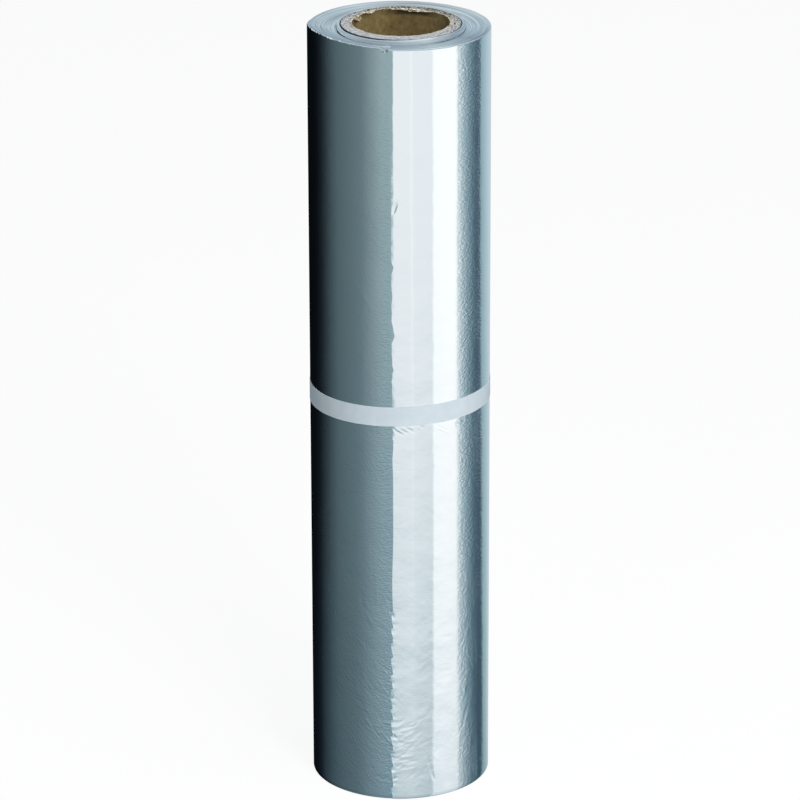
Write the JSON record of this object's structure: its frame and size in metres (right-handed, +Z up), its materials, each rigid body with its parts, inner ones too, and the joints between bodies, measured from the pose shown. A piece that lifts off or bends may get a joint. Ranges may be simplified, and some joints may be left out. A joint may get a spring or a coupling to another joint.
{
  "type": "aluminium foil roll",
  "caption": "Roll of aluminium foil wound on a card core, stood on its end and held shut by a plain paper band.",
  "frame": {"origin": "centre of the roll's lower end, where it stands", "axes": "+Z up the roll's axis; -Y is the front, with the foil's free end just left of its middle; +X to the right of the front"},
  "size_m": [0.069, 0.0692, 0.3011],
  "materials": {
    "foil": "rolled, bright",
    "core_card": "raw card, frayed cut edge",
    "band_paper": "matt, uncoated"
  },
  "bodies": {
    "root": {"core_tube": "core_card", "foil_winding": "foil", "paper_band": "band_paper"}
  },
  "joints": []
}
